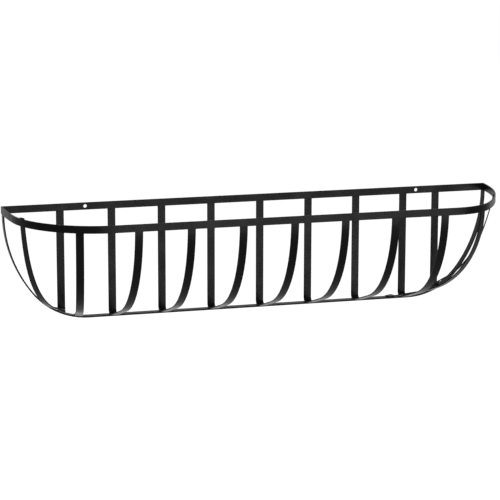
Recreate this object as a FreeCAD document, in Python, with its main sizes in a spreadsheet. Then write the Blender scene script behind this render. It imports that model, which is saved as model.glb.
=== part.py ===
import FreeCAD, Part
import math
import os

import Sketcher
from FreeCAD import Vector

# Wall-hung window box rack, welded from black flat bar: a back rail with two screw
# holes, a D-shaped front rim, a bottom band whose ends rise to the back corners, and
# eleven ribs between them.
# The part's origin is midway between the two screw holes, on the wall: X runs along the
# rail, the wall is the plane Y = 0 with the rack on its -Y side, and Z is up.
# The pieces are drawn from the middle of the rail's length and the underside of the
# band, and placed() shifts each of them to the part's origin.

DRIVING_SIZES = (
    ("rack_length", 914.0),
    ("rack_depth", 226.96),
    ("rack_height", 209.48),
    ("rail_bar_height", 13.31),
    ("rail_bar_thickness", 2.5),
    ("rib_bar_width", 14.18),
    ("rib_bar_thickness", 2.0),
    ("band_bar_width", 14.2),
    ("band_bar_thickness", 2.78),
    ("bar_edge_radius", 0.4),
    # The rim's ends, on the outer face: a corner arc each, and how far in from the end the
    # straight front stops. A flatter side arc closes each end.
    ("rim_left_corner_radius", 154.85),
    ("rim_left_end_span", 158.8679),
    ("rim_right_corner_radius", 96.5),
    ("rim_right_end_span", 138.7468),
    # The band's ends likewise, on the middle of its thickness.
    ("band_left_corner_radius", 128.7),
    ("band_left_end_span", 151.1487),
    ("band_right_corner_radius", 127.5),
    ("band_right_end_span", 149.4185),
    ("band_end_inset", 1.5),
    ("band_end_gap", 0.3),
    # The row of seven cross ribs.
    ("rib_pitch", 92.39),
    ("rib_row_shift", 20.13),
    ("leg_top_drop", 1.0),
    ("leg_bend_radius", 6.0),
    ("foot_length", 12.1),
    ("heel_radius", 45.1),
    ("front_arc_share", 0.879),
    ("arm_top_drop", 1.0),
    # The two corner ribs: how far their feet on the band and their tops at the rim lie
    # in from the rack's ends.
    ("corner_left_foot_inset", 137.65),
    ("corner_left_rim_inset", 98.4),
    ("corner_right_foot_inset", 189.5),
    ("corner_right_rim_inset", 78.0),
    # The two fan ribs: how far the leg lies in from the rack's end, the rim point's
    # distance from the wall, the plan angle outwards from square at which the foot leaves
    # the wall, the slope with which it rises, the lengths over which the arm keeps its
    # first and last direction, and how far its top leans forward along the rim and
    # outward from below. Angles are in degrees.
    ("fan_left_inset", 106.05),
    ("fan_left_rim_depth", 125.05),
    ("fan_left_heading", 7.1),
    ("fan_left_rise_angle", 26.9),
    ("fan_left_foot_run", 60.4),
    ("fan_left_arm_run", 188.3),
    ("fan_left_lean", -2.6),
    ("fan_left_flare", 2.5),
    ("fan_right_inset", 95.75),
    ("fan_right_rim_depth", 122.0),
    ("fan_right_heading", -7.3),
    ("fan_right_rise_angle", 34.0),
    ("fan_right_foot_run", 63.2),
    ("fan_right_arm_run", 164.1),
    ("fan_right_lean", 1.2),
    ("fan_right_flare", 12.5),
    ("fan_bend_radius", 5.0),
    ("fan_top_stand", 1.2),
    # The screw holes in the rail.
    ("screw_hole_diameter", 6.5),
    ("screw_hole_spacing", 627.2),
    ("screw_hole_shift", 8.16),
    # Weld beads, and the small gaps at seats that aren't flat on flat.
    ("weld_bead_radius", 1.6),
    ("leg_bead_length", 9.0),
    ("arm_bead_length", 5.5),
    ("foot_bead_length", 5.0),
    ("curved_seat_gap", 0.2),
)

CROSS_RIBS = 7
CORNER_SECTIONS = 40
BEND_SECTIONS = 11
ARM_SECTIONS = 18
CROSSING_STEPS = 120
HALVINGS = 24

doc = FreeCAD.newDocument("WindowBoxRack")
sheet = doc.addObject("Spreadsheet::Sheet", "Sizes")
for row, (alias, value) in enumerate(DRIVING_SIZES, start=1):
    sheet.set("A%d" % row, alias)
    sheet.set("B%d" % row, str(value))
    sheet.setAlias("B%d" % row, alias)
doc.recompute()

sub_parts = []


def size(alias):
    return float(sheet.get(alias))


def evaluated(expression):
    return float(sheet.evalExpression(expression))


def new_body(name):
    body = doc.addObject("PartDesign::Body", name)
    body.Label = name
    sub_parts.append(body)
    return body


def placed(sub_part, x, y, z):
    """Puts a sub-part where the expressions say, measured from the rail's middle, the
    wall and the underside of the band."""
    sub_part.setExpression("Placement.Base.x", "%s - Sizes.screw_hole_shift" % x)
    sub_part.setExpression("Placement.Base.y", y)
    sub_part.setExpression(
        "Placement.Base.z", "%s - Sizes.rack_height + Sizes.rail_bar_height / 2" % z)


def new_sketch(body, name, role):
    sketch = body.newObject("Sketcher::SketchObject", name)
    for feature in body.Origin.OriginFeatures:
        if feature.Role == role:
            sketch.AttachmentSupport = [(feature, "")]
    sketch.MapMode = "FlatFace"
    return sketch


def bind(sketch, name, arguments, expression):
    """Adds a dimension with its value from the sheet."""
    constraint = Sketcher.Constraint(*arguments, evaluated(expression))
    index = sketch.addConstraint(constraint)
    sketch.renameConstraint(index, name)
    sketch.setExpression("Constraints." + name, expression)


def join_tangent(sketch, first, first_end, second, second_start):
    sketch.addConstraint(Sketcher.Constraint("Tangent", first, first_end, second, second_start))


def arc_between(centre, radius, start_angle, end_angle):
    """A counter-clockwise arc in the sketch plane, angles in radians."""
    circle = Part.Circle(Vector(centre[0], centre[1], 0), Vector(0, 0, 1), radius)
    return Part.ArcOfCircle(circle, start_angle, end_angle)


UP = Vector(0, 0, 1)
TO_WALL = Vector(0, 1, 0)
FORWARD = Vector(0, -1, 0)
SIDES = (("left", -1), ("right", 1))
MIDDLE = "0"
WALL = "0"
BAND_FOOT = "0"
START = 1
END = 2
CENTRE = 3
ORIGIN = (-1, 1)
X_AXIS = -1


def add_bar_section(sketch, centre_x, centre_y, width, height):
    """A rectangle with rounded corners. The four places and sizes are expressions."""
    x = evaluated(centre_x)
    y = evaluated(centre_y)
    radius = size("bar_edge_radius")
    half_x = evaluated(width) / 2
    half_y = evaluated(height) / 2
    corners = ((1, 1, 0.0), (-1, 1, 0.5), (-1, -1, 1.0), (1, -1, 1.5))
    arcs = []
    for side_x, side_y, turn in corners:
        centre = (x + side_x * (half_x - radius), y + side_y * (half_y - radius))
        arcs.append(sketch.addGeometry(
            arc_between(centre, radius, turn * math.pi, (turn + 0.5) * math.pi)))
    lines = []
    for place in range(4):
        first = sketch.Geometry[arcs[place]].EndPoint
        second = sketch.Geometry[arcs[(place + 1) % 4]].StartPoint
        lines.append(sketch.addGeometry(Part.LineSegment(first, second)))
    for place in range(4):
        join_tangent(sketch, arcs[place], END, lines[place], START)
        join_tangent(sketch, lines[place], END, arcs[(place + 1) % 4], START)
    for place in range(1, 4):
        sketch.addConstraint(Sketcher.Constraint("Equal", arcs[0], arcs[place]))
    for place in (0, 2):
        sketch.addConstraint(Sketcher.Constraint("Horizontal", lines[place]))
        sketch.addConstraint(Sketcher.Constraint("Vertical", lines[place + 1]))
    bind(sketch, "edge_radius", ("Radius", arcs[0]), "Sizes.bar_edge_radius")
    reach_x = "(%s) + (%s) / 2" % (centre_x, width)
    reach_y = "(%s) + (%s) / 2" % (centre_y, height)
    low_x = "(%s) - (%s) / 2" % (centre_x, width)
    low_y = "(%s) - (%s) / 2" % (centre_y, height)
    bind(sketch, "right", ("DistanceX", *ORIGIN, lines[3], START), reach_x)
    bind(sketch, "top", ("DistanceY", *ORIGIN, lines[0], START), reach_y)
    bind(sketch, "left", ("DistanceX", *ORIGIN, lines[1], START), low_x)
    bind(sketch, "bottom", ("DistanceY", *ORIGIN, lines[2], START), low_y)


def d_end(reach, depth, corner_radius, span):
    """Corner arc centre, side arc centre, the angle at which they meet and the side arc's
    radius, for an end that leaves the line v = -depth tangentially, a span short of the
    reach, and arrives at (reach, 0) square to v = 0."""
    over = span - corner_radius
    side_radius = (span ** 2 + depth ** 2 - 2 * depth * corner_radius) / (2 * over)
    corner_centre = (reach - span, -depth + corner_radius)
    side_centre = (reach - side_radius, 0.0)
    angle = math.atan2(depth - corner_radius, side_radius - span)
    return corner_centre, side_centre, angle, side_radius


def add_d_path(sketch, reach, depth, ends):
    """Side arc, corner arc, line, corner arc, side arc, from the left end to the right
    one. The reach, the depth and the ends' radii and spans are expressions."""
    left_corner, left_span, right_corner, right_span = ends
    values = [evaluated(value) for value in ends]
    half = evaluated(reach)
    down = evaluated(depth)
    corner_l, side_l, angle_l, radius_l = d_end(half, down, values[0], values[1])
    corner_r, side_r, angle_r, radius_r = d_end(half, down, values[2], values[3])
    corner_l = (-corner_l[0], corner_l[1])
    side_l = (-side_l[0], side_l[1])
    first = sketch.addGeometry(
        arc_between(side_l, radius_l, math.pi, math.pi + angle_l))
    second = sketch.addGeometry(
        arc_between(corner_l, values[0], math.pi + angle_l, 1.5 * math.pi))
    third = sketch.addGeometry(Part.LineSegment(
        Vector(corner_l[0], -down, 0), Vector(corner_r[0], -down, 0)))
    fourth = sketch.addGeometry(
        arc_between(corner_r, values[2], 1.5 * math.pi, 2 * math.pi - angle_r))
    fifth = sketch.addGeometry(
        arc_between(side_r, radius_r, 2 * math.pi - angle_r, 2 * math.pi))
    join_tangent(sketch, first, END, second, START)
    join_tangent(sketch, second, END, third, START)
    join_tangent(sketch, third, END, fourth, START)
    join_tangent(sketch, fourth, END, fifth, START)
    sketch.addConstraint(Sketcher.Constraint("Horizontal", third))
    sketch.addConstraint(Sketcher.Constraint("PointOnObject", first, CENTRE, X_AXIS))
    sketch.addConstraint(Sketcher.Constraint("PointOnObject", first, START, X_AXIS))
    sketch.addConstraint(Sketcher.Constraint("PointOnObject", fifth, CENTRE, X_AXIS))
    sketch.addConstraint(Sketcher.Constraint("PointOnObject", fifth, END, X_AXIS))
    bind(sketch, "left_reach", ("DistanceX", first, START, *ORIGIN), reach)
    bind(sketch, "right_reach", ("DistanceX", *ORIGIN, fifth, END), reach)
    bind(sketch, "depth", ("DistanceY", third, START, *ORIGIN), depth)
    bind(sketch, "left_straight", ("DistanceX", third, START, *ORIGIN),
         "(%s) - (%s)" % (reach, left_span))
    bind(sketch, "left_corner", ("Radius", second), left_corner)
    bind(sketch, "right_corner", ("Radius", fourth), right_corner)
    bind(sketch, "right_straight", ("DistanceX", *ORIGIN, third, END),
         "(%s) - (%s)" % (reach, right_span))


def sweep(body, section, path):
    pipe = body.newObject("PartDesign::AdditivePipe", body.Name + "_sweep")
    pipe.Profile = section
    pipe.Spine = (path, [])
    return pipe


# Back rail: a straight bar on edge in front of the ribs' legs, with two screw holes.
def make_back_rail():
    body = new_body("back_rail")
    section = new_sketch(body, "rail_section", "YZ_Plane")
    add_bar_section(
        section, "-Sizes.rail_bar_thickness / 2", "-Sizes.rail_bar_height / 2",
        "Sizes.rail_bar_thickness", "Sizes.rail_bar_height")
    bar = body.newObject("PartDesign::Pad", "rail_bar")
    bar.Profile = section
    bar.Midplane = True
    bar.setExpression("Length", "Sizes.rack_length")
    holes = new_sketch(body, "screw_holes", "XZ_Plane")
    middle = size("screw_hole_shift")
    half = size("screw_hole_spacing") / 2
    height = -size("rail_bar_height") / 2
    for name, side in (("left", -1), ("right", 1)):
        centre = Vector(middle + side * half, height, 0)
        hole = holes.addGeometry(
            Part.Circle(centre, Vector(0, 0, 1), size("screw_hole_diameter") / 2))
        place = "Sizes.screw_hole_shift + %d * Sizes.screw_hole_spacing / 2" % side
        bind(holes, name + "_place", ("DistanceX", *ORIGIN, hole, CENTRE), place)
        bind(holes, name + "_height", ("DistanceY", hole, CENTRE, *ORIGIN),
             "Sizes.rail_bar_height / 2")
        bind(holes, name + "_bore", ("Diameter", hole), "Sizes.screw_hole_diameter")
    doc.recompute()
    solid_volume = body.Shape.Volume
    bores = body.newObject("PartDesign::Pocket", "rail_bores")
    bores.Profile = holes
    bores.Type = "ThroughAll"
    bores.Midplane = True
    doc.recompute()
    bored_away = 2 * math.pi * (size("screw_hole_diameter") / 2) ** 2 * size("rail_bar_thickness")
    if abs(solid_volume - body.Shape.Volume - bored_away) > 0.01 * bored_away:
        raise ValueError("the screw holes don't go through the rail")
    placed(body, MIDDLE, "-Sizes.rib_bar_thickness", "Sizes.rack_height")


# Front rim: a bar on edge, bent into a D whose ends meet the rail's front face.
RIM_HALF = "Sizes.rack_length / 2 - Sizes.rail_bar_thickness / 2"
RIM_DEPTH = "Sizes.rack_depth - Sizes.rib_bar_thickness - 1.5 * Sizes.rail_bar_thickness"


RIM_ENDS = ["Sizes.%s - Sizes.rail_bar_thickness / 2" % alias for alias in (
    "rim_left_corner_radius", "rim_left_end_span",
    "rim_right_corner_radius", "rim_right_end_span")]


def make_front_rim():
    body = new_body("front_rim")
    path = new_sketch(body, "rim_path", "XY_Plane")
    add_d_path(path, RIM_HALF, RIM_DEPTH, RIM_ENDS)
    section = new_sketch(body, "rim_section", "XZ_Plane")
    add_bar_section(
        section, "-(%s)" % RIM_HALF, "-Sizes.rail_bar_height / 2",
        "Sizes.rail_bar_thickness", "Sizes.rail_bar_height")
    sweep(body, section, path)
    placed(body, MIDDLE, "-Sizes.rib_bar_thickness - Sizes.rail_bar_thickness",
           "Sizes.rack_height")


# Bottom band: a bar laid flat whose ends rise to the rail's ends.
BAND_HALF = "Sizes.rack_length / 2 - Sizes.band_end_inset - Sizes.band_bar_thickness / 2"
BAND_TOP = "Sizes.rack_height - Sizes.rail_bar_height - Sizes.band_end_gap"
BAND_DEPTH = BAND_TOP + " - Sizes.band_bar_thickness / 2"
BAND_ENDS = ["Sizes.band_left_corner_radius", "Sizes.band_left_end_span",
             "Sizes.band_right_corner_radius", "Sizes.band_right_end_span"]


def make_bottom_band():
    body = new_body("bottom_band")
    path = new_sketch(body, "band_path", "XZ_Plane")
    add_d_path(path, BAND_HALF, BAND_DEPTH, BAND_ENDS)
    section = new_sketch(body, "band_section", "XY_Plane")
    add_bar_section(
        section, "-(%s)" % BAND_HALF, "-Sizes.band_bar_width / 2",
        "Sizes.band_bar_thickness", "Sizes.band_bar_width")
    sweep(body, section, path)
    placed(body, MIDDLE, WALL, BAND_TOP)


# Rib outline, seen from the end: leg, bend, foot on the band, heel, slope, front arc
# and a short upright lap inside the rim. The origin is the top of the leg's back face.
LEG_TOP = "(Sizes.rack_height - Sizes.leg_top_drop)"
RIB_HALF = "Sizes.rib_bar_thickness / 2"
FOOT_DROP = LEG_TOP + " - Sizes.band_bar_thickness - " + RIB_HALF
BEND_RADIUS = "Sizes.leg_bend_radius + " + RIB_HALF
HEEL_RADIUS = "Sizes.heel_radius - " + RIB_HALF
FRONT_RADIUS = "Sizes.front_arc_share * Sizes.rack_height - " + RIB_HALF
ARM_REACH = "Sizes.rack_depth - Sizes.rail_bar_thickness - " + RIB_HALF
ARC_DROP = "Sizes.rail_bar_height / 2 - Sizes.leg_top_drop"
ARM_TOP_DROP = "Sizes.arm_top_drop - Sizes.leg_top_drop"


def rib_outline():
    """The centres and angles of the outline: y and z as in the sketch."""
    heel_centre = (-size("foot_length"), -evaluated(FOOT_DROP) + evaluated(HEEL_RADIUS))
    front_centre = (-evaluated(ARM_REACH) + evaluated(FRONT_RADIUS), -evaluated(ARC_DROP))
    run = heel_centre[0] - front_centre[0]
    rise = front_centre[1] - heel_centre[1]
    apart = math.hypot(run, rise)
    growth = evaluated(FRONT_RADIUS) - evaluated(HEEL_RADIUS)
    slope = math.atan2(rise, run) - math.asin(growth / apart)
    return heel_centre, front_centre, slope


def below(centre, radius, angle):
    """The point of a circle that lies at an angle forward from straight below."""
    return Vector(centre[0] - radius * math.sin(angle), centre[1] - radius * math.cos(angle), 0)


def add_rib_path(sketch):
    heel_centre, front_centre, slope = rib_outline()
    leg_y = -evaluated(RIB_HALF)
    foot_z = -evaluated(FOOT_DROP)
    bend = evaluated(BEND_RADIUS)
    heel = evaluated(HEEL_RADIUS)
    front = evaluated(FRONT_RADIUS)
    arm_y = -evaluated(ARM_REACH)
    leg = sketch.addGeometry(Part.LineSegment(
        Vector(leg_y, 0, 0), Vector(leg_y, foot_z + bend, 0)))
    turn = sketch.addGeometry(arc_between(
        (leg_y - bend, foot_z + bend), bend, 1.5 * math.pi, 2 * math.pi))
    foot = sketch.addGeometry(Part.LineSegment(
        Vector(leg_y - bend, foot_z, 0), Vector(heel_centre[0], foot_z, 0)))
    heel_arc = sketch.addGeometry(arc_between(
        heel_centre, heel, 1.5 * math.pi - slope, 1.5 * math.pi))
    rise = sketch.addGeometry(Part.LineSegment(
        below(heel_centre, heel, slope), below(front_centre, front, slope)))
    front_arc = sketch.addGeometry(arc_between(
        front_centre, front, math.pi, 1.5 * math.pi - slope))
    lap = sketch.addGeometry(Part.LineSegment(
        Vector(arm_y, front_centre[1], 0), Vector(arm_y, -evaluated(ARM_TOP_DROP), 0)))
    join_tangent(sketch, leg, END, turn, END)
    join_tangent(sketch, turn, START, foot, START)
    join_tangent(sketch, foot, END, heel_arc, END)
    join_tangent(sketch, heel_arc, START, rise, START)
    join_tangent(sketch, rise, END, front_arc, END)
    join_tangent(sketch, front_arc, START, lap, START)
    sketch.addConstraint(Sketcher.Constraint("Vertical", leg))
    sketch.addConstraint(Sketcher.Constraint("Horizontal", foot))
    sketch.addConstraint(Sketcher.Constraint("Vertical", lap))
    sketch.addConstraint(Sketcher.Constraint("PointOnObject", leg, START, X_AXIS))
    bind(sketch, "leg_middle", ("DistanceX", leg, START, *ORIGIN), RIB_HALF)
    bind(sketch, "foot_drop", ("DistanceY", foot, START, *ORIGIN), FOOT_DROP)
    bind(sketch, "bend_radius", ("Radius", turn), BEND_RADIUS)
    bind(sketch, "foot_end", ("DistanceX", foot, END, *ORIGIN), "Sizes.foot_length")
    bind(sketch, "heel_radius", ("Radius", heel_arc), HEEL_RADIUS)
    bind(sketch, "front_radius", ("Radius", front_arc), FRONT_RADIUS)
    bind(sketch, "arc_drop", ("DistanceY", front_arc, CENTRE, *ORIGIN), ARC_DROP)
    bind(sketch, "arm_reach", ("DistanceX", lap, START, *ORIGIN), ARM_REACH)
    bind(sketch, "arm_top", ("DistanceY", lap, END, *ORIGIN), ARM_TOP_DROP)


def make_cross_ribs():
    for number in range(1, CROSS_RIBS + 1):
        body = new_body("cross_rib_%d" % number)
        path = new_sketch(body, "rib_path_%d" % number, "YZ_Plane")
        add_rib_path(path)
        section = new_sketch(body, "rib_section_%d" % number, "XY_Plane")
        add_bar_section(section, "0", "-" + RIB_HALF,
                        "Sizes.rib_bar_width", "Sizes.rib_bar_thickness")
        sweep(body, section, path)
        steps = number - (CROSS_RIBS + 1) // 2
        place = "Sizes.rib_row_shift + %d * Sizes.rib_pitch" % steps
        placed(body, place, WALL, LEG_TOP)


# Where the bent pieces meet: the rim's inner face and the band's upper face.
def rim_end(side):
    label = "left" if side < 0 else "right"
    corner_radius = size("rim_%s_corner_radius" % label)
    depth = size("rack_depth") - size("rib_bar_thickness") - size("rail_bar_thickness")
    corner, middle, angle, side_radius = d_end(
        size("rack_length") / 2, depth, corner_radius, size("rim_%s_end_span" % label))
    return corner, corner_radius, middle, side_radius, angle


def seat_in_rim(side, centre, radius, turn):
    """Middle of a flat bar that stands inside the curved rim, touching it with both
    edges, and its outward direction. The turn is the outward direction's plan angle
    from the +X (or -X) axis."""
    outward = Vector(side * math.cos(turn), -math.sin(turn), 0)
    inner = radius - size("rail_bar_thickness")
    touch = math.sqrt(inner ** 2 - (size("rib_bar_width") / 2) ** 2)
    distance = touch - size("curved_seat_gap") - size("rib_bar_thickness") / 2
    front_of_rail = -size("rib_bar_thickness") - size("rail_bar_thickness")
    start = Vector(side * centre[0], centre[1] + front_of_rail, 0)
    return start + outward * distance, outward


def rim_seat_at_depth(side, depth):
    corner, corner_radius, middle, side_radius, angle = rim_end(side)
    local = depth - size("rib_bar_thickness") - size("rail_bar_thickness")
    if local <= side_radius * math.sin(angle):
        return seat_in_rim(side, middle, side_radius, math.asin(local / side_radius))
    turn = math.asin((local + corner[1]) / corner_radius)
    return seat_in_rim(side, corner, corner_radius, turn)


def rim_seat_at_reach(side, reach):
    corner, corner_radius, _, _, _ = rim_end(side)
    turn = math.acos((reach - corner[0]) / corner_radius)
    return seat_in_rim(side, corner, corner_radius, turn)


def band_end(side):
    ends = [evaluated(value) for value in BAND_ENDS]
    corner_radius, span = ends[:2] if side < 0 else ends[2:]
    corner, middle, angle, side_radius = d_end(
        evaluated(BAND_HALF), evaluated(BAND_DEPTH), corner_radius, span)
    return corner, corner_radius, middle, side_radius, angle


def band_top_height(x):
    """Height of the band's upper face."""
    side = -1 if x < 0 else 1
    corner, corner_radius, middle, side_radius, angle = band_end(side)
    half = size("band_bar_thickness") / 2
    out = abs(x) - corner[0]
    if out <= 0:
        return size("band_bar_thickness")
    if out <= (corner_radius - half) * math.cos(angle):
        drop = corner[1] - math.sqrt((corner_radius - half) ** 2 - out ** 2)
    else:
        drop = -math.sqrt((side_radius - half) ** 2 - (abs(x) - middle[0]) ** 2)
    return evaluated(BAND_TOP) + drop


def band_slope(x):
    """Angle of the band's upper face, positive where it rises towards +X."""
    step = size("rib_bar_width") / 2
    return math.atan2(band_top_height(x + step) - band_top_height(x - step), 2 * step)


# Bent bars: wires of the rounded section set along a path, skinned with one surface.
def section_wire(place):
    """The section's outline. place(across, through) gives a point of the bar."""
    half_w = size("rib_bar_width") / 2
    half_t = size("rib_bar_thickness") / 2
    radius = size("bar_edge_radius")
    near = radius * (1 - math.sqrt(0.5))
    edges = []
    previous = None
    first = None
    for side_w, side_t in ((1, 1), (-1, 1), (-1, -1), (1, -1)):
        long_end = place(side_w * (half_w - radius), side_t * half_t)
        middle = place(side_w * (half_w - near), side_t * (half_t - near))
        short_end = place(side_w * half_w, side_t * (half_t - radius))
        start, end = (short_end, long_end) if side_w == side_t else (long_end, short_end)
        if previous:
            edges.append(Part.LineSegment(previous, start).toShape())
        else:
            first = start
        edges.append(Part.Arc(start, middle, end).toShape())
        previous = end
    edges.append(Part.LineSegment(previous, first).toShape())
    return Part.Wire(edges)


def flat_section(middle, width_way, run_way):
    """A section square to run_way with its width along width_way."""
    through = run_way.cross(width_way).normalize()
    across = through.cross(run_way).normalize()
    return section_wire(lambda u, v: middle + across * u + through * v)


def add_feature(name, shape):
    feature = doc.addObject("Part::Feature", name)
    feature.Label = name
    feature.Shape = shape
    placed(feature, MIDDLE, WALL, BAND_FOOT)
    sub_parts.append(feature)


def outline_pieces():
    """The rib outline from the end of the foot to the top of the arm: start distance
    from the wall, start height, start angle, length and radius (0 for a straight)."""
    heel_centre, front_centre, slope = rib_outline()
    heel = evaluated(HEEL_RADIUS)
    front = evaluated(FRONT_RADIUS)
    top = evaluated(LEG_TOP)
    foot_z = top - evaluated(FOOT_DROP)
    heel_end = below(heel_centre, heel, slope)
    front_start = below(front_centre, front, slope)
    rise = heel_end.distanceToPoint(front_start)
    lap = evaluated(ARC_DROP) - evaluated(ARM_TOP_DROP)
    return (
        (0.0, foot_z, 0.0, size("foot_length"), 0.0),
        (-heel_centre[0], foot_z, 0.0, heel * slope, heel),
        (-heel_end.x, top + heel_end.y, slope, rise, 0.0),
        (-front_start.x, top + front_start.y, slope, front * (math.pi / 2 - slope), front),
        (evaluated(ARM_REACH), top + front_centre[1], math.pi / 2, lap, 0.0),
    )


def outline_at(pieces, distance):
    """Distance from the wall, height and angle of the rib outline at a run length."""
    for start_y, start_z, angle, length, radius in pieces:
        if distance <= length + 1e-6 or (start_y, start_z, angle, length, radius) == pieces[-1]:
            break
        distance -= length
    if radius == 0:
        return (start_y + distance * math.cos(angle), start_z + distance * math.sin(angle), angle)
    end = angle + distance / radius
    return (start_y + radius * (math.sin(end) - math.sin(angle)),
            start_z + radius * (math.cos(angle) - math.cos(end)), end)


def cross_rib_places():
    middle = (CROSS_RIBS - 1) / 2
    return [size("rib_row_shift") + (number - middle) * size("rib_pitch")
            for number in range(CROSS_RIBS)]


def cross_rib_top(pieces, depth):
    """Height of a cross rib's upper face at a distance from the wall."""
    half = size("rib_bar_thickness") / 2
    low = 0.0
    high = sum(piece[3] for piece in pieces)
    for _ in range(HALVINGS):
        tried = (low + high) / 2
        out, height, angle = outline_at(pieces, tried)
        if out - half * math.sin(angle) < depth:
            low = tried
        else:
            high = tried
    return height + half * math.cos(angle)


# Corner ribs: the same outline, set slantwise in plan and turned on the way so that it
# lies flat on the band at the foot and flat inside the rim's corner at the top.
class CornerRib:
    def __init__(self, side, foot_reach, rim_reach):
        self.seat, outward = rim_seat_at_reach(side, rim_reach)
        self.foot = Vector(side * foot_reach, 0, 0)
        slope = band_slope(self.foot.x)
        self.foot_way = Vector(math.cos(slope), 0, math.sin(slope))
        self.rim_way = outward.cross(UP)
        if self.rim_way.x < 0:
            self.rim_way = self.rim_way * -1
        self.pieces = outline_pieces()
        self.whole = sum(piece[3] for piece in self.pieces)
        self.lift = 0.0
        self.hump = 0.0
        half = size("rib_bar_width") / 2
        under = -size("rib_bar_thickness") / 2

        # The slanted foot starts where its rear corner touches the wall.
        plan = self.seat - self.foot
        self.start = half * abs(plan.x) / math.hypot(plan.x, plan.y)
        self.start += max(self.point_at(self.start, way * half, under).y for way in (-1, 1))

        # It is lifted until its underside rests on the band's upper face.
        band_width = size("band_bar_width")
        soles = [self.point_at(self.start + band_width * step / 6, across * half, under)
                 for step in range(9) for across in (-1, 0, 1)]
        self.lift = size("curved_seat_gap") + max(
            band_top_height(p.x) - p.z for p in soles if p.y >= -band_width)

        # Where it crosses a cross rib, a hump takes it over that rib.
        gap = size("curved_seat_gap")
        for number in range(CROSSING_STEPS):
            distance = self.start + (self.whole - self.start) * number / CROSSING_STEPS
            share = outline_at(self.pieces, distance)[0] / evaluated(ARM_REACH)
            for across in (-1, -0.5, 0, 0.5, 1):
                p = self.point_at(distance, across * half, under)
                if min(abs(p.x - place) for place in cross_rib_places()) < half + gap:
                    short = cross_rib_top(self.pieces, -p.y) + gap - p.z
                    self.hump += max(0, short) / self.hump_share(share)

    @staticmethod
    def hump_share(share):
        """The hump's height, 1 at its top, which is a quarter of the way to the rim."""
        return share * (1 - share) ** 3 / (0.25 * 0.75 ** 3)

    def frame_at(self, distance):
        """Middle, width direction and run direction at a run length from the wall."""
        out, height, angle = outline_at(self.pieces, distance)
        share = out / evaluated(ARM_REACH)
        plan = (self.seat - self.foot) * (1 / evaluated(ARM_REACH))
        middle = self.foot + plan * out
        middle.z = height + self.lift * (1 - share) ** 2 + self.hump * self.hump_share(share)
        run_way = (plan * math.cos(angle) + Vector(0, 0, math.sin(angle))).normalize()
        turned = self.foot_way * (1 - share) + self.rim_way * share
        across = (turned - run_way * (turned * run_way)).normalize()
        return middle, across, run_way

    def point_at(self, distance, u, v):
        middle, across, run_way = self.frame_at(distance)
        return middle + across * u + run_way.cross(across) * v

    def shape(self):
        sections = []
        for number in range(CORNER_SECTIONS):
            distance = self.start + (self.whole - self.start) * number / (CORNER_SECTIONS - 1)
            middle, across, run_way = self.frame_at(distance)
            sections.append(flat_section(middle, across, run_way))
        return Part.makeLoft(sections, True, False)


def reach(name):
    """Distance from the rail's middle of a place that is set in from the rack's end."""
    return size("rack_length") / 2 - size(name + "_inset")


def corner_rib(label, side):
    return CornerRib(side, reach("corner_%s_foot" % label), reach("corner_%s_rim" % label))


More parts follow.
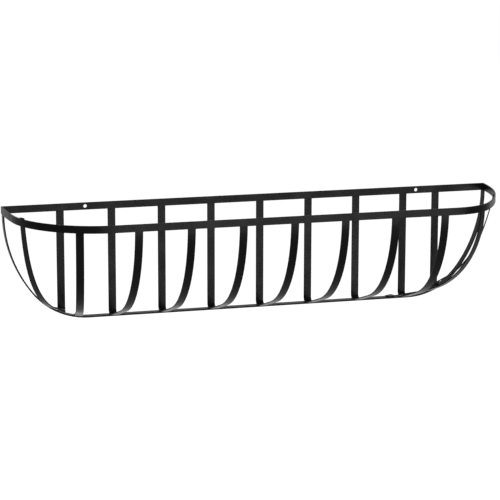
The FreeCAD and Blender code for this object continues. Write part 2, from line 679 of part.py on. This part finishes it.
# Fan ribs: an upright leg, a bend at the foot with a twist in it that lays the bar on the
# band's slope, and an arm that swings up to the rim's side.
class FanRib:
    def __init__(self, label, side):
        self.label = label
        self.seat, self.outward = rim_seat_at_depth(side, self.value("rim_depth"))
        plan_angle = math.radians(self.value("heading"))
        rise = math.radians(self.value("rise_angle"))
        self.heading = Vector(side * math.sin(plan_angle), -math.cos(plan_angle), 0)
        self.turn = math.pi / 2 + rise
        slope = band_slope(side * reach("fan_" + label))
        self.foot_way = Vector(math.cos(slope), 0, math.sin(slope))

        # The bend is let down until its underside rests on the band.
        half_t = size("rib_bar_thickness") / 2
        half_w = size("rib_bar_width") / 2
        self.start = Vector(side * reach("fan_" + label), -half_t, 0)
        soles = [middle + across * (step * half_w) - run_way.cross(across) * half_t
                 for middle, across, run_way in self.bend() for step in (-1, 0, 1)]
        self.start.z = size("curved_seat_gap") + max(
            band_top_height(p.x) - p.z for p in soles if p.y > -size("band_bar_width"))

        # The arm's top: its direction inside the rim, and its middle at half the rim's
        # height, from where it runs straight.
        forward = self.outward.cross(UP)
        if forward.y > 0:
            forward = forward * -1
        lean = math.radians(self.value("lean"))
        flare = math.tan(math.radians(self.value("flare")))
        self.rim_way = forward
        self.end_way = (UP * math.cos(lean) + forward * math.sin(lean)
                        + self.outward * flare).normalize()
        half_rim = size("rail_bar_height") / 2
        self.arm_end = self.seat - self.outward * (flare * half_rim)
        self.arm_end.z = size("rack_height") - half_rim

    def value(self, name):
        return size("fan_%s_%s" % (self.label, name))

    def bend(self):
        """Middle, width direction and run direction of the sections round the bend."""
        radius = size("fan_bend_radius") + size("rib_bar_thickness") / 2
        frames = []
        for number in range(BEND_SECTIONS):
            angle = self.turn * number / (BEND_SECTIONS - 1)
            run_way = self.heading * math.sin(angle) - UP * math.cos(angle)
            middle = self.heading * (1 - math.cos(angle)) - UP * math.sin(angle)
            share = math.sin(min(angle, math.pi / 2)) ** 2
            turned = Vector(1, 0, 0) * (1 - share) + self.foot_way * share
            across = (turned - run_way * (turned * run_way)).normalize()
            frames.append((self.start + middle * radius, across, run_way))
        return frames

    def shape(self):
        top = size("rack_height")
        leg_top = Vector(self.start.x, self.start.y, top - size("leg_top_drop"))
        leg = Part.makeLoft([
            flat_section(leg_top, Vector(1, 0, 0), UP * -1),
            flat_section(self.start, Vector(1, 0, 0), UP * -1)], True, True)

        frames = self.bend()
        sections = [flat_section(*frame) for frame in frames]
        arm_start, foot_across, foot_run_way = frames[-1]
        rim_way = self.rim_way if self.rim_way * foot_across > 0 else self.rim_way * -1
        curve = Part.BezierCurve()
        curve.setPoles([
            arm_start, arm_start + foot_run_way * self.value("foot_run"),
            self.arm_end - self.end_way * self.value("arm_run"), self.arm_end])
        for number in range(1, ARM_SECTIONS + 1):
            share = number / ARM_SECTIONS
            turned = foot_across * (1 - share) + rim_way * share
            sections.append(flat_section(curve.value(share), turned, curve.tangent(share)[0]))
        arm = Part.makeLoft(sections, True, False)

        climb = (top + size("fan_top_stand") - self.arm_end.z) / self.end_way.z
        lap = Part.makeLoft([
            flat_section(self.arm_end, rim_way, self.end_way),
            flat_section(self.arm_end + self.end_way * climb, rim_way, self.end_way)],
            True, True)
        return leg.fuse([arm, lap]).removeSplitter()


# Weld beads: quarter-round solids in the inside corners between two bars.
class WeldGroup:
    def __init__(self, name):
        self.name = name
        self.beads = []

    def add(self, corner, first_way, second_way, length):
        """A bead whose corner edge has its middle at corner, between two faces that run
        off along first_way and second_way. The length is an expression."""
        first = Vector(first_way).normalize()
        second = Vector(second_way).normalize()
        run = first.cross(second)
        bead = doc.addObject("Part::Cylinder", "%s_bead_%d" % (self.name, len(self.beads) + 1))
        bead.Angle = 90
        bead.setExpression("Radius", "Sizes.weld_bead_radius")
        bead.setExpression("Height", length)
        turn = FreeCAD.Rotation(first, second, run, "ZXY")
        bead.Placement = FreeCAD.Placement(corner - run * (evaluated(length) / 2), turn)
        self.beads.append(bead)

    def finish(self):
        compound = doc.addObject("Part::Compound", self.name)
        compound.Label = self.name
        compound.Links = self.beads
        placed(compound, MIDDLE, WALL, BAND_FOOT)
        sub_parts.append(compound)


LEG_BEAD = "Sizes.leg_bead_length"
ARM_BEAD = "Sizes.arm_bead_length"
FOOT_BEAD = "Sizes.foot_bead_length"
CORNER_BEAD = "Sizes.rail_bar_height - 2 * Sizes.bar_edge_radius"


def make_rail_welds(leg_places):
    """Two beads beside each leg, behind the rail."""
    group = WeldGroup("welds_rail")
    height = size("rack_height") - size("rail_bar_height") / 2
    for place in leg_places:
        for way in (-1, 1):
            corner = Vector(place + way * size("rib_bar_width") / 2,
                            -size("rib_bar_thickness"), height)
            group.add(corner, Vector(way, 0, 0), TO_WALL, LEG_BEAD)
    group.finish()


def make_rim_welds():
    """Two beads beside each arm, inside the rim's upper half."""
    group = WeldGroup("welds_rim")
    height = size("rack_height") - size("arm_top_drop") - size("arm_bead_length") / 2
    inner = size("rail_bar_thickness") - size("rack_depth") + size("rib_bar_thickness") / 2
    seats = [(Vector(place, inner, height), FORWARD, UP) for place in cross_rib_places()]
    for label, side in SIDES:
        seat, outward = rim_seat_at_reach(side, reach("corner_%s_rim" % label))
        seats.append((Vector(seat.x, seat.y, height), outward, UP))
        fan = FanRib(label, side)
        run_way = fan.end_way - fan.outward * (fan.end_way * fan.outward)
        middle = fan.seat + run_way * ((height - fan.arm_end.z) / run_way.z)
        middle.z = height
        seats.append((middle, fan.outward, run_way.normalize()))
    for middle, outward, run_way in seats:
        along = outward.cross(run_way)
        for way in (-1, 1):
            corner = middle + outward * (size("rib_bar_thickness") / 2)
            corner += along * (way * size("rib_bar_width") / 2)
            group.add(corner, along * way, outward * -1, ARM_BEAD)
    group.finish()


def make_band_welds():
    """Two beads beside each foot, on the band."""
    group = WeldGroup("welds_band")
    half = size("rib_bar_width") / 2
    under = -size("rib_bar_thickness") / 2
    middle = size("foot_length") - evaluated(FOOT_BEAD) / 2
    for place in cross_rib_places():
        for way in (-1, 1):
            corner = Vector(place + way * half, -middle, size("band_bar_thickness"))
            group.add(corner, Vector(way, 0, 0), UP, FOOT_BEAD)
    for label, side in SIDES:
        rib = corner_rib(label, side)
        _, across, run_way = rib.frame_at(middle)
        for way in (-1, 1):
            corner = rib.point_at(middle, way * half, under)
            group.add(corner, across * way, run_way.cross(across), FOOT_BEAD)
    group.finish()


def make_corner_welds():
    """An upright bead in each back corner, between the rail and the rim's end."""
    group = WeldGroup("welds_corner")
    inside = size("rack_length") / 2 - size("rail_bar_thickness")
    front = -size("rib_bar_thickness") - size("rail_bar_thickness")
    height = size("rack_height") - size("rail_bar_height") / 2
    for _, side in SIDES:
        group.add(Vector(side * inside, front, height), Vector(-side, 0, 0),
                  FORWARD, CORNER_BEAD)
    group.finish()


make_back_rail()
make_front_rim()
make_bottom_band()
make_cross_ribs()
for label, side in SIDES:
    add_feature("corner_rib_" + label, corner_rib(label, side).shape())
    add_feature("fan_rib_" + label, FanRib(label, side).shape())
make_rail_welds(cross_rib_places() + [-reach("fan_left"), reach("fan_right")])
make_rim_welds()
make_band_welds()
make_corner_welds()
doc.recompute()

for made in doc.Objects:
    if "Invalid" in made.State or "Error" in made.State:
        raise ValueError(made.Label + " is not valid")
    if made.TypeId == "Sketcher::SketchObject" and not made.FullyConstrained:
        raise ValueError(made.Label + " has a free dimension")
for part in sub_parts:
    if part.Shape.isNull() or not part.Shape.isValid():
        raise ValueError(part.Label + " has no valid shape")

os.makedirs("parts", exist_ok=True)
for part in sub_parts:
    part.Shape.exportStep("parts/%s.step" % part.Label)
    print(part.Label, len(part.Shape.Solids), round(part.Shape.Volume, 1))
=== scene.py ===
import math
import random

import bmesh
import bpy
import numpy as np
from mathutils import Matrix, Vector


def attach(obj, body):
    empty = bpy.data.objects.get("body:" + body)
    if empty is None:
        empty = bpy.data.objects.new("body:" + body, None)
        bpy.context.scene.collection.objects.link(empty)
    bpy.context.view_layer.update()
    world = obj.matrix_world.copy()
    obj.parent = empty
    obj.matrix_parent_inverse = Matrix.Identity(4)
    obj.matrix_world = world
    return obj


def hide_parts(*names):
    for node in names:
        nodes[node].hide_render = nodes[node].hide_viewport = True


# Wall-hung window box rack, welded from black powder-coated flat bar. The bars are the
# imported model's own nodes; the plain weld solids are replaced by hand-laid beads.

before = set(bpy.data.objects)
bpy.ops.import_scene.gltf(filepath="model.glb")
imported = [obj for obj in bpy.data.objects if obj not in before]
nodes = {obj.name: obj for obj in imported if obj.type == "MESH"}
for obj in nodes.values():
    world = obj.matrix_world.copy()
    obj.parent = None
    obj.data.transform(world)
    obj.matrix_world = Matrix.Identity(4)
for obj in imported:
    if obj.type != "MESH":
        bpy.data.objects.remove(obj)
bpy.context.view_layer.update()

BEAD_SEED = 11
rng = random.Random(BEAD_SEED)

WELD_NODES = ("welds_rail", "welds_rim", "welds_band", "welds_corner")
BARS = [name for name in sorted(nodes) if name not in WELD_NODES]


# ---------------------------------------------------------------- node trees
# The sockets of a colour mix node go by number, because their names repeat.
MIX_FACTOR, MIX_FIRST, MIX_SECOND, MIX_RESULT = 0, 6, 7, 2

# How far a seed of 1 moves a noise pattern along X, Y and Z.
SEED_MOVE = (1.0, 0.7, -0.4)


class Nodes:
    """The emptied node tree of a material or a world, with short calls to fill it."""

    def __init__(self, owner):
        owner.use_nodes = True
        self.tree = owner.node_tree
        self.tree.nodes.clear()

    def add(self, kind, feeds=None, **settings):
        """A new node. Each feed goes to the input of that name or number: a socket is
        linked to it, and anything else is its fixed value."""
        node = self.tree.nodes.new(kind)
        for name, value in settings.items():
            setattr(node, name, value)
        for key, value in (feeds or {}).items():
            if isinstance(value, bpy.types.NodeSocket):
                self.tree.links.new(value, node.inputs[key])
            else:
                node.inputs[key].default_value = value
        return node

    def noise(self, coords, pattern, seed):
        scale, detail, roughness, own_seed = pattern
        move = [(seed + own_seed) * share for share in SEED_MOVE]
        mapping = self.add("ShaderNodeMapping", {"Vector": coords, "Location": move})
        noise = self.add("ShaderNodeTexNoise", {
            "Vector": mapping.outputs["Vector"], "Scale": scale, "Detail": detail,
            "Roughness": roughness})
        return noise.outputs["Fac"]

    def ramp(self, source, span, result=(0.0, 1.0)):
        """Maps a span of the source to the result's two values, held at both ends."""
        node = self.add("ShaderNodeMapRange", {
            "Value": source, "From Min": span[0], "From Max": span[1],
            "To Min": result[0], "To Max": result[1]}, clamp=True)
        return node.outputs["Result"]

    def math(self, operation, first, second):
        node = self.add("ShaderNodeMath", {0: first, 1: second}, operation=operation)
        return node.outputs["Value"]

    def mix(self, factor, first, second):
        """Mixes two colours, each an RGBA value or a socket."""
        node = self.add("ShaderNodeMix", {
            MIX_FACTOR: factor, MIX_FIRST: first, MIX_SECOND: second}, data_type="RGBA")
        return node.outputs[MIX_RESULT]

    def bump(self, height, strength, depth, below=None):
        """A normal raised by the height, on top of the normal below if there is one."""
        feeds = {"Height": height, "Strength": strength, "Distance": depth}
        if below is not None:
            feeds["Normal"] = below
        return self.add("ShaderNodeBump", feeds).outputs["Normal"]

    def seen(self):
        """1 where the camera, a reflection or a refraction looks, otherwise 0."""
        path = self.add("ShaderNodeLightPath").outputs
        rays = path["Is Camera Ray"]
        for name in ("Is Glossy Ray", "Is Transmission Ray"):
            rays = self.math("MAXIMUM", rays, path[name])
        return rays


# ---------------------------------------------------------------- the coat
COAT_DARK = (0.0016, 0.0018, 0.0017, 1.0)
COAT_LIGHT = (0.0032, 0.0035, 0.0034, 1.0)
# Lighter edge colour, partly worn coat and partly a painted highlight.
COAT_EDGE_WEAR_AND_HIGHLIGHT = (0.024, 0.025, 0.0245, 1.0)
DUST = (0.035, 0.034, 0.032, 1.0)

# Noise patterns: scale per metre, detail, roughness, and what each adds to the seed.
PATCHES = (9.0, 4.0, 0.6, 0.0)
MOTTLE = (140.0, 5.0, 0.65, 3.0)
RUBBED_SPOTS = (60.0, 6.0, 0.7, 7.0)
DUST_SPECKS = (420.0, 3.0, 0.7, 13.0)
WIDE_SHEEN = (34.0, 4.0, 0.6, 17.0)
FINE_SHEEN = (900.0, 2.0, 0.5, 19.0)
SLOW_WAVES = (55.0, 3.0, 0.5, 23.0)
ORANGE_PEEL = (620.0, 2.0, 0.45, 29.0)
FINE_GRAIN = (2600.0, 2.0, 0.6, 31.0)

# How much patches and mottle count in the tone, and the part of its range from the dark
# colour to the light one.
PATCH_SHARE, MOTTLE_SHARE = 0.6, 0.4
TONE_SPAN = (0.35, 0.65)

# An edge is where a normal rounded over this radius leaves the surface's own: the span of
# their product over which the lighter edge fades, and the part of the noise that is rubbed.
# The lighter edge is partly wear and partly a painted highlight.
EDGE_RADIUS = 0.0007
EDGE_SAMPLES = 6
EDGE_SPAN = (0.80, 0.985)
RUBBED_SPAN = (0.50, 0.68)

# The upward share of a normal over which dust sets in, the part of the noise that makes
# specks, the dust's strength, and how much rougher it makes the coat.
UPWARD_SPAN = (0.55, 0.98)
SPECK_SPAN = (0.56, 0.70)
DUST_STRENGTH = 0.16
DUST_ROUGHNESS = 0.9

# Roughness that the two sheen patterns give, over this part of their noise, and the
# coat's weak reflection, for which 0.5 is the shader's usual level.
SHEEN_SPAN = (0.3, 0.7)
WIDE_ROUGHNESS = (0.23, 0.33)
FINE_ROUGHNESS = (-0.03, 0.05)
SPECULAR = 0.028

# Strength, and depth in metres, of the coat's three layers of relief.
WAVE_RELIEF = (0.24, 0.0012)
PEEL_RELIEF = (0.22, 0.00022)
GRAIN_RELIEF = (0.10, 0.00005)

# Wear and painted highlight on the edges, and how strong the slow waves are, on bars and on
# weld beads. Each bar has its own seed, this far from the one before.
BAR_WEAR_AND_HIGHLIGHT, BAR_WAVES, BAR_SEED_STEP = 0.55, 1.0, 1.7
WELD_WEAR_AND_HIGHLIGHT, WELD_WAVES, WELD_SEED = 0.5, 1.6, 57.0


def coated_steel(name, edge_wear_and_highlight, waves, seed):
    """Satin black powder coat: orange peel, fine grain, lighter edges that are partly
    thinner coat and rubbed spots and partly a painted highlight, and a trace of dust on what
    faces up."""
    material = bpy.data.materials.new(name)
    tree = Nodes(material)
    coords = tree.add("ShaderNodeTexCoord").outputs["Object"]
    surface_normal = tree.add("ShaderNodeNewGeometry").outputs["Normal"]

    def noise(pattern):
        return tree.noise(coords, pattern, seed)

    tone = tree.math("ADD", tree.math("MULTIPLY", noise(PATCHES), PATCH_SHARE),
                     tree.math("MULTIPLY", noise(MOTTLE), MOTTLE_SHARE))
    colour = tree.mix(tree.ramp(tone, TONE_SPAN), COAT_DARK, COAT_LIGHT)

    rounded = tree.add("ShaderNodeBevel", {"Radius": EDGE_RADIUS}, samples=EDGE_SAMPLES)
    product = tree.add("ShaderNodeVectorMath", {
        0: rounded.outputs["Normal"], 1: surface_normal}, operation="DOT_PRODUCT")
    edge = tree.ramp(product.outputs["Value"], EDGE_SPAN, (1.0, 0.0))
    rubbed = tree.ramp(noise(RUBBED_SPOTS), RUBBED_SPAN)
    worn_and_highlit = tree.math("MULTIPLY", tree.math("MULTIPLY", edge, rubbed), edge_wear_and_highlight)
    # Edges lightened: partly wear, partly a painted highlight.
    colour = tree.mix(worn_and_highlit, colour, COAT_EDGE_WEAR_AND_HIGHLIGHT)

    split = tree.add("ShaderNodeSeparateXYZ", {"Vector": surface_normal})
    upward = tree.ramp(split.outputs["Z"], UPWARD_SPAN)
    specks = tree.ramp(noise(DUST_SPECKS), SPECK_SPAN)
    dusty = tree.math("MULTIPLY", tree.math("MULTIPLY", upward, specks), DUST_STRENGTH)
    colour = tree.mix(dusty, colour, DUST)

    rough = tree.math("ADD", tree.ramp(noise(WIDE_SHEEN), SHEEN_SPAN, WIDE_ROUGHNESS),
                      tree.ramp(noise(FINE_SHEEN), SHEEN_SPAN, FINE_ROUGHNESS))
    rough = tree.math("ADD", rough, tree.math("MULTIPLY", dusty, DUST_ROUGHNESS))

    strength, depth = WAVE_RELIEF
    normal = tree.bump(noise(SLOW_WAVES), strength * waves, depth)
    normal = tree.bump(noise(ORANGE_PEEL), *PEEL_RELIEF, normal)
    normal = tree.bump(noise(FINE_GRAIN), *GRAIN_RELIEF, normal)

    shader = tree.add("ShaderNodeBsdfPrincipled", {
        "Base Color": colour, "Roughness": rough, "Normal": normal,
        "Metallic": 0.0, "Specular IOR Level": SPECULAR})
    tree.add("ShaderNodeOutputMaterial", {"Surface": shader.outputs["BSDF"]})
    return material


def coat_bars():
    for index, bar in enumerate(BARS):
        slots = nodes[bar].data.materials
        slots.clear()
        slots.append(coated_steel("coat_" + bar, BAR_WEAR_AND_HIGHLIGHT, BAR_WAVES, BAR_SEED_STEP * index))


# ---------------------------------------------------------------- weld beads
# Points of a CAD weld closer than the first are one point, and a point nearer to the
# corner than the second is the corner itself. In metres.
MERGE_DISTANCE = 1e-6
CORNER_DISTANCE = 1e-5
# Welds are taken in the order of their places, rounded to this many digits.
PLACE_DIGITS = 5

# A bead's ripples: the length of one, the steps that draw it, and the fewest of them.
RIPPLE_LENGTH = 0.00125
RIPPLE_STEPS = 7
FEWEST_RIPPLES = 3
# Steps of the quarter turn from one flat face to the other.
PROFILE_STEPS = 9

# Shares of the CAD weld's radius: the smallest ripple, the valley between two ripples,
# the bead's tapered end, and the profile half way round.
SMALLEST_RIPPLE = 0.84
VALLEY = 0.80
TAPERED_END = 0.30
PROFILE_MIDDLE = 0.84
# The taper's power: a higher one keeps the bead full for longer.
TAPER_POWER = 5
# How far a ring bows along the bead, by its radius.
BOW = 0.32
# The largest lean to one flat face, and the largest drift of the toe.
LEAN = 0.06
DRIFT = 0.05
# The share of the CAD weld's radius that a bead keeps to, and of its length that the
# bead's corner line has.
KEPT_TO = 0.995


def loose_parts(node):
    """The separate solids of a CAD node, each as an array of its corner points."""
    mesh = bmesh.new()
    mesh.from_mesh(node.data)
    bmesh.ops.remove_doubles(mesh, verts=mesh.verts, dist=MERGE_DISTANCE)
    mesh.verts.ensure_lookup_table()
    left = set(range(len(mesh.verts)))
    parts = []
    while left:
        group = []
        waiting = [left.pop()]
        while waiting:
            vertex = mesh.verts[waiting.pop()]
            group.append(vertex.co[:])
            for side in vertex.link_edges:
                other = side.other_vert(vertex).index
                if other in left:
                    left.remove(other)
                    waiting.append(other)
        parts.append(np.array(sorted(group)))
    mesh.free()
    return sorted(parts, key=lambda part: tuple(np.round(part.mean(0), PLACE_DIGITS)))


def corner_frame(points):
    """Of a quarter-round solid: the middle of its corner edge, the edge's direction, the
    directions of its two flat faces, its length and its radius."""
    middle = points.mean(0)
    _, vectors = np.linalg.eigh(np.cov((points - middle).T))
    run = vectors[:, 2]
    across = vectors[:, :2]
    along = (points - middle) @ run
    flat = (points - middle) @ across

    def offsets(candidate):
        """The other points, seen from the candidate."""
        away = flat - candidate
        return away[np.linalg.norm(away, axis=1) > CORNER_DISTANCE]

    # The corner is the point from which all the others lie about equally far.
    corner = min(flat, key=lambda point: np.linalg.norm(offsets(point), axis=1).std())
    radius = np.linalg.norm(offsets(corner), axis=1).mean()
    centre = offsets(corner).mean(0)
    centre_way = centre / np.linalg.norm(centre)
    side_way = np.array((-centre_way[1], centre_way[0]))
    first = across @ (centre_way + side_way) / math.sqrt(2)
    second = across @ (centre_way - side_way) / math.sqrt(2)
    low, high = along.min(), along.max()
    place = middle + across @ corner + run * ((low + high) / 2)
    return place, run, first, second, high - low, radius


def from_low(low, share):
    """Runs from low, at a share of 0, to 1."""
    return low + (1 - low) * share


def bead_rings(place, run, first, second, length, radius):
    """Rings of points along a hand-laid weld bead, with overlapping ripples, tapered ends
    and an uneven toe. The last point of each ring lies in the corner."""
    ripples = max(FEWEST_RIPPLES, round(length / RIPPLE_LENGTH))
    sections = ripples * RIPPLE_STEPS
    phase = rng.uniform(0, 1)
    drift = rng.uniform(-DRIFT, DRIFT)
    # The phase takes the last section into a further ripple, or just past it.
    sizes = [rng.uniform(SMALLEST_RIPPLE, 1.0) for _ in range(ripples + 2)]
    lean = rng.uniform(-LEAN, LEAN)
    rings = []
    for number in range(sections + 1):
        share = number / sections
        from_middle = abs(2 * share - 1)
        straight = (share - 0.5) * length * KEPT_TO
        step, which = math.modf(share * ripples + phase)
        ridge = from_low(VALLEY, math.sqrt(max(0.0, 1 - (2 * step - 1) ** 2)))
        end = from_low(TAPERED_END, math.sqrt(max(0.0, 1 - from_middle ** TAPER_POWER)))
        ring = []
        for angle_step in range(PROFILE_STEPS + 1):
            turn = math.pi / 2 * angle_step / PROFILE_STEPS
            hump = from_low(PROFILE_MIDDLE, math.cos(2 * turn) ** 2)
            uneven = 1 + lean * math.cos(2 * turn) + drift * math.sin(4 * turn)
            reach = radius * ridge * sizes[int(which)] * hump * uneven * end
            reach = min(reach, radius * KEPT_TO)
            bow = BOW * radius * math.sin(2 * turn) * (1 - from_middle)
            offset = max(-length / 2, min(length / 2, straight + bow))
            ring.append(place + run * offset
                        + (first * math.cos(turn) + second * math.sin(turn)) * reach)
        ring.append(place + run * straight)
        rings.append(ring)
    return rings


def stack_faces(base, rows, count):
    """Faces of a closed stack of rings of count points each, from the point base on."""
    faces = []
    for row in range(rows - 1):
        start = base + row * count
        for column in range(count):
            after = (column + 1) % count
            faces.append((start + column, start + after,
                          start + count + after, start + count + column))
    last = base + (rows - 1) * count
    faces.append(tuple(reversed(range(base, base + count))))
    faces.append(tuple(range(last, last + count)))
    return faces


def add_beads(name, node_name, material):
    """One piece with a bead for every solid of a CAD weld node."""
    vertices, faces = [], []
    for part in loose_parts(nodes[node_name]):
        rings = bead_rings(*corner_frame(part))
        faces.extend(stack_faces(len(vertices), len(rings), len(rings[0])))
        vertices.extend(tuple(point) for ring in rings for point in ring)
    mesh = bpy.data.meshes.new(name)
    mesh.from_pydata(vertices, [], faces)
    fixer = bmesh.new()
    fixer.from_mesh(mesh)
    bmesh.ops.recalc_face_normals(fixer, faces=fixer.faces)
    fixer.to_mesh(mesh)
    fixer.free()
    mesh.shade_smooth()
    mesh.materials.append(material)
    piece = bpy.data.objects.new(name, mesh)
    bpy.context.scene.collection.objects.link(piece)
    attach(piece, "root")
    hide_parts(node_name)


def add_all_beads():
    finish = coated_steel("coat_welds", WELD_WEAR_AND_HIGHLIGHT, WELD_WAVES, WELD_SEED)
    for node_name in WELD_NODES:
        add_beads(node_name.replace("welds_", "beads_"), node_name, finish)


# ---------------------------------------------------------------- floor and light
WHITE = (1.0, 1.0, 1.0, 1.0)

# The rack hangs high, so the ground lies this far below the screw line.
FLOOR_DROP = 1.15
FLOOR_SIZE = 90.0
FLOOR_COLOUR = (0.80, 0.80, 0.80, 1.0)
# What is added to the floor where it is seen, so that it shows white.
FLOOR_GLOW = 0.44

# The sky's strength as a light, and where it is seen.
SKY_LIGHT, SKY_SEEN = 0.72, 1.0

# Softboxes: name, place, width, height, watts, and the spread of the light in degrees.
SOFTBOXES = (
    ("front", (0.68, -2.4, -0.50), 2.5, 0.62, 18.5, 90.0),
    ("top", (-0.9, -2.4, 3.2), 2.0, 0.9, 60.0, 180.0),
    ("back", (-2.6, 3.4, 0.9), 1.6, 1.0, 25.0, 180.0),
)
# They all face this place, inside the rack.
LIT_PLACE = Vector((0, -0.1, -0.1))


def white_ground():
    """A pale ground that takes shadows and shows white."""
    material = bpy.data.materials.new("floor_white")
    tree = Nodes(material)
    diffuse = tree.add("ShaderNodeBsdfDiffuse", {"Color": FLOOR_COLOUR})
    strength = tree.math("MULTIPLY", tree.seen(), FLOOR_GLOW)
    glow = tree.add("ShaderNodeEmission", {"Strength": strength})
    both = tree.add("ShaderNodeAddShader", {
        0: diffuse.outputs["BSDF"], 1: glow.outputs["Emission"]})
    tree.add("ShaderNodeOutputMaterial", {"Surface": both.outputs["Shader"]})
    return material


def add_floor():
    half = FLOOR_SIZE / 2
    corners = [(x * half, y * half, -FLOOR_DROP)
               for x, y in ((-1, -1), (1, -1), (1, 1), (-1, 1))]
    mesh = bpy.data.meshes.new("floor")
    mesh.from_pydata(corners, [], [(0, 1, 2, 3)])
    mesh.materials.append(white_ground())
    floor = bpy.data.objects.new("floor", mesh)
    bpy.context.scene.collection.objects.link(floor)


def add_world():
    """An even sky, dimmer as a light than where it is seen."""
    world = bpy.data.worlds.new("sky")
    bpy.context.scene.world = world
    tree = Nodes(world)
    dim, bright = (tree.add("ShaderNodeBackground", {"Color": WHITE, "Strength": strength})
                   for strength in (SKY_LIGHT, SKY_SEEN))
    mixer = tree.add("ShaderNodeMixShader", {
        "Fac": tree.seen(), 1: dim.outputs["Background"], 2: bright.outputs["Background"]})
    tree.add("ShaderNodeOutputWorld", {"Surface": mixer.outputs["Shader"]})


def add_softbox(name, place, width, height, power, spread):
    light = bpy.data.lights.new(name, "AREA")
    light.shape = "RECTANGLE"
    light.size = width
    light.size_y = height
    light.energy = power
    light.spread = math.radians(spread)
    holder = bpy.data.objects.new(name, light)
    holder.visible_camera = False
    holder.location = place
    way = LIT_PLACE - Vector(place)
    holder.rotation_euler = way.to_track_quat("-Z", "Y").to_euler()
    bpy.context.scene.collection.objects.link(holder)


# ---------------------------------------------------------------- camera
# The photograph's camera in the part's frame: turn to the right of +Y, tilt below the
# horizon and roll in radians, focal length and the part's origin in pixels of the square
# picture, and how far in front of the camera the origin lies, in metres.
YAW, PITCH, ROLL = 0.275689, 0.206718, 0.002066
FOCAL, ORIGIN_U, ORIGIN_V, DISTANCE = 2194.46, 253.325, 197.312, 4.00865
# The picture's width in pixels, and the sensor's in millimetres.
PICTURE = 500.0
SENSOR = 36.0
# The camera sees this far, in metres.
SIGHT = 200.0


def add_camera():
    forward = Vector((math.sin(YAW) * math.cos(PITCH), math.cos(YAW) * math.cos(PITCH),
                      -math.sin(PITCH)))
    level_right = Vector((math.cos(YAW), -math.sin(YAW), 0.0))
    level_up = level_right.cross(forward)
    right = level_right * math.cos(ROLL) + level_up * math.sin(ROLL)
    up = level_up * math.cos(ROLL) - level_right * math.sin(ROLL)
    aside = (ORIGIN_U - PICTURE / 2) * DISTANCE / FOCAL
    above = -(ORIGIN_V - PICTURE / 2) * DISTANCE / FOCAL
    camera = bpy.data.cameras.new("camera")
    camera.sensor_width = SENSOR
    camera.lens = FOCAL / PICTURE * SENSOR
    camera.clip_end = SIGHT
    matrix = Matrix((right, up, -forward)).transposed().to_4x4()
    matrix.translation = -(right * aside + up * above + forward * DISTANCE)
    holder = bpy.data.objects.new("camera", camera)
    holder.matrix_world = matrix
    bpy.context.scene.collection.objects.link(holder)
    bpy.context.scene.camera = holder


# ---------------------------------------------------------------- the scene
coat_bars()
add_all_beads()
add_floor()
add_world()
for softbox in SOFTBOXES:
    add_softbox(*softbox)
add_camera()
bpy.context.scene.view_settings.view_transform = "Standard"
